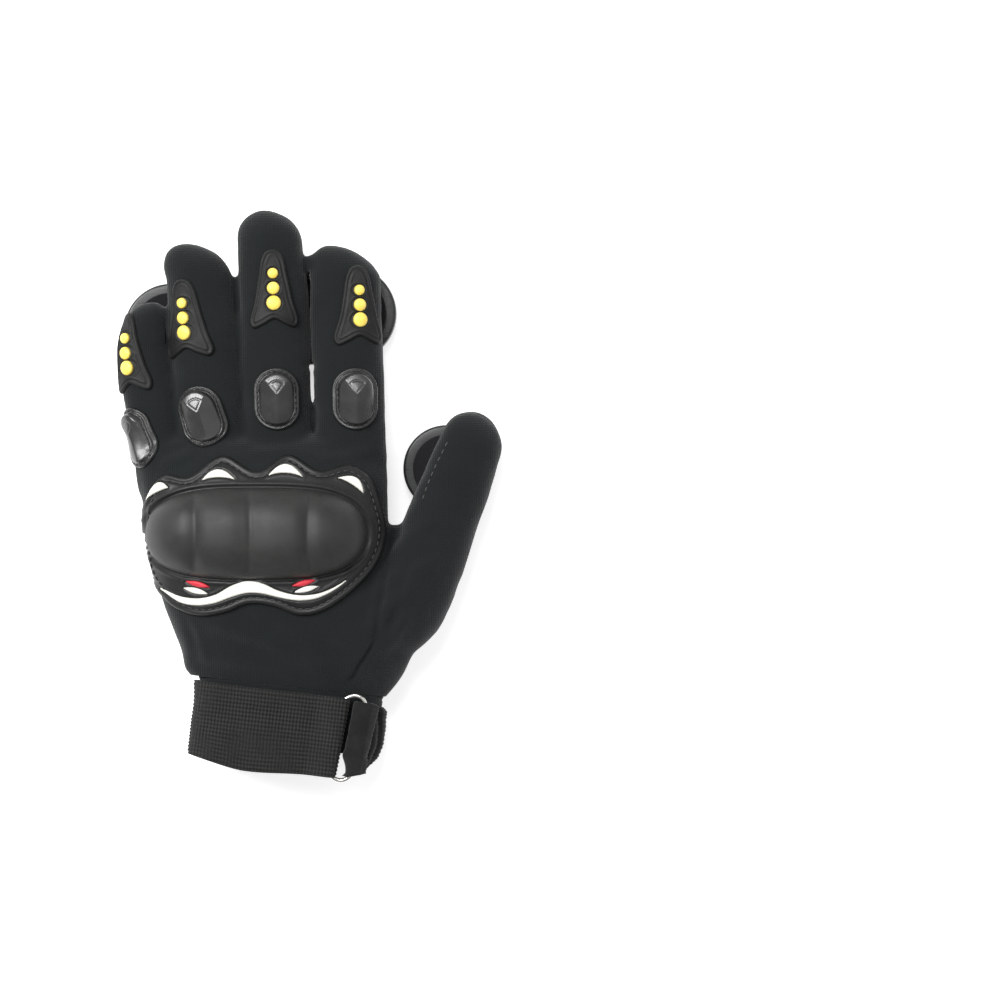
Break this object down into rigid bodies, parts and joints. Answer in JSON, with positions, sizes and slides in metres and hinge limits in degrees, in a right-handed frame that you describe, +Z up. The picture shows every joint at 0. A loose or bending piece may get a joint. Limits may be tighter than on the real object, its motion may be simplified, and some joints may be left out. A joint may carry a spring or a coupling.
{
  "type": "longboard slide glove for the left hand",
  "caption": "Full-finger slide glove for the left hand with palm, finger and thumb pucks, a knuckle guard, finger patches and a ring-and-strap cuff.",
  "frame": {"origin": "middle of the palm puck's sliding face, on the surface that the glove lies on", "axes": "+Z up towards the back of the hand, +Y towards the fingertips, +X towards the thumb side"},
  "size_m": [0.1549, 0.2289, 0.0653],
  "materials": {
    "knit": "matt black stretch knit",
    "palm_fabric": "black suede-like fabric with fine pale silicone dots",
    "webbing": "ribbed elastic webbing, brownish black",
    "moulded": "soft moulded synthetic, low satin",
    "hump": "smooth satin shell",
    "gloss_cap": "glossy hard plastic",
    "puck": "satin moulded puck plastic",
    "hook": "black hook-and-loop pile",
    "pale_inlay": "off-white rubber inlay",
    "red_inlay": "red rubber inlay",
    "yellow_stud": "yellow domed stud",
    "ring_metal": "nickel-plated wire"
  },
  "bodies": {
    "root": {"back_panel": "knit", "palm_panel": "palm_fabric", "wrist_cuff": "knit", "wrist_strap": "webbing", "ring_tab": "knit", "oval_ring": "ring_metal", "guard_base": "moulded", "guard_hump": "hump", "guard_crescent_pinky": "pale_inlay", "guard_crescent_ring": "pale_inlay", "guard_crescent_middle": "pale_inlay", "guard_crescent_index": "pale_inlay", "guard_wave": "pale_inlay", "guard_leaf_red_left": "red_inlay", "guard_leaf_pale_left": "pale_inlay", "guard_leaf_red_right": "red_inlay", "guard_leaf_pale_right": "pale_inlay", "patch_pinky": "moulded", "patch_ring": "moulded", "patch_middle": "moulded", "patch_index": "moulded", "stud_pinky_1": "yellow_stud", "stud_pinky_2": "yellow_stud", "stud_pinky_3": "yellow_stud", "stud_ring_1": "yellow_stud", "stud_ring_2": "yellow_stud", "stud_ring_3": "yellow_stud", "stud_middle_1": "yellow_stud", "stud_middle_2": "yellow_stud", "stud_middle_3": "yellow_stud", "stud_index_1": "yellow_stud", "stud_index_2": "yellow_stud", "stud_index_3": "yellow_stud", "pad_pinky": "moulded", "pad_ring": "moulded", "pad_middle": "moulded", "pad_index": "moulded", "pad_cap_pinky": "gloss_cap", "pad_cap_ring": "gloss_cap", "pad_cap_middle": "gloss_cap", "pad_cap_index": "gloss_cap", "palm_puck": "puck", "finger_puck": "puck", "thumb_puck": "puck", "palm_hook": "hook", "finger_hook": "hook", "thumb_hook": "hook"}
  },
  "joints": []
}
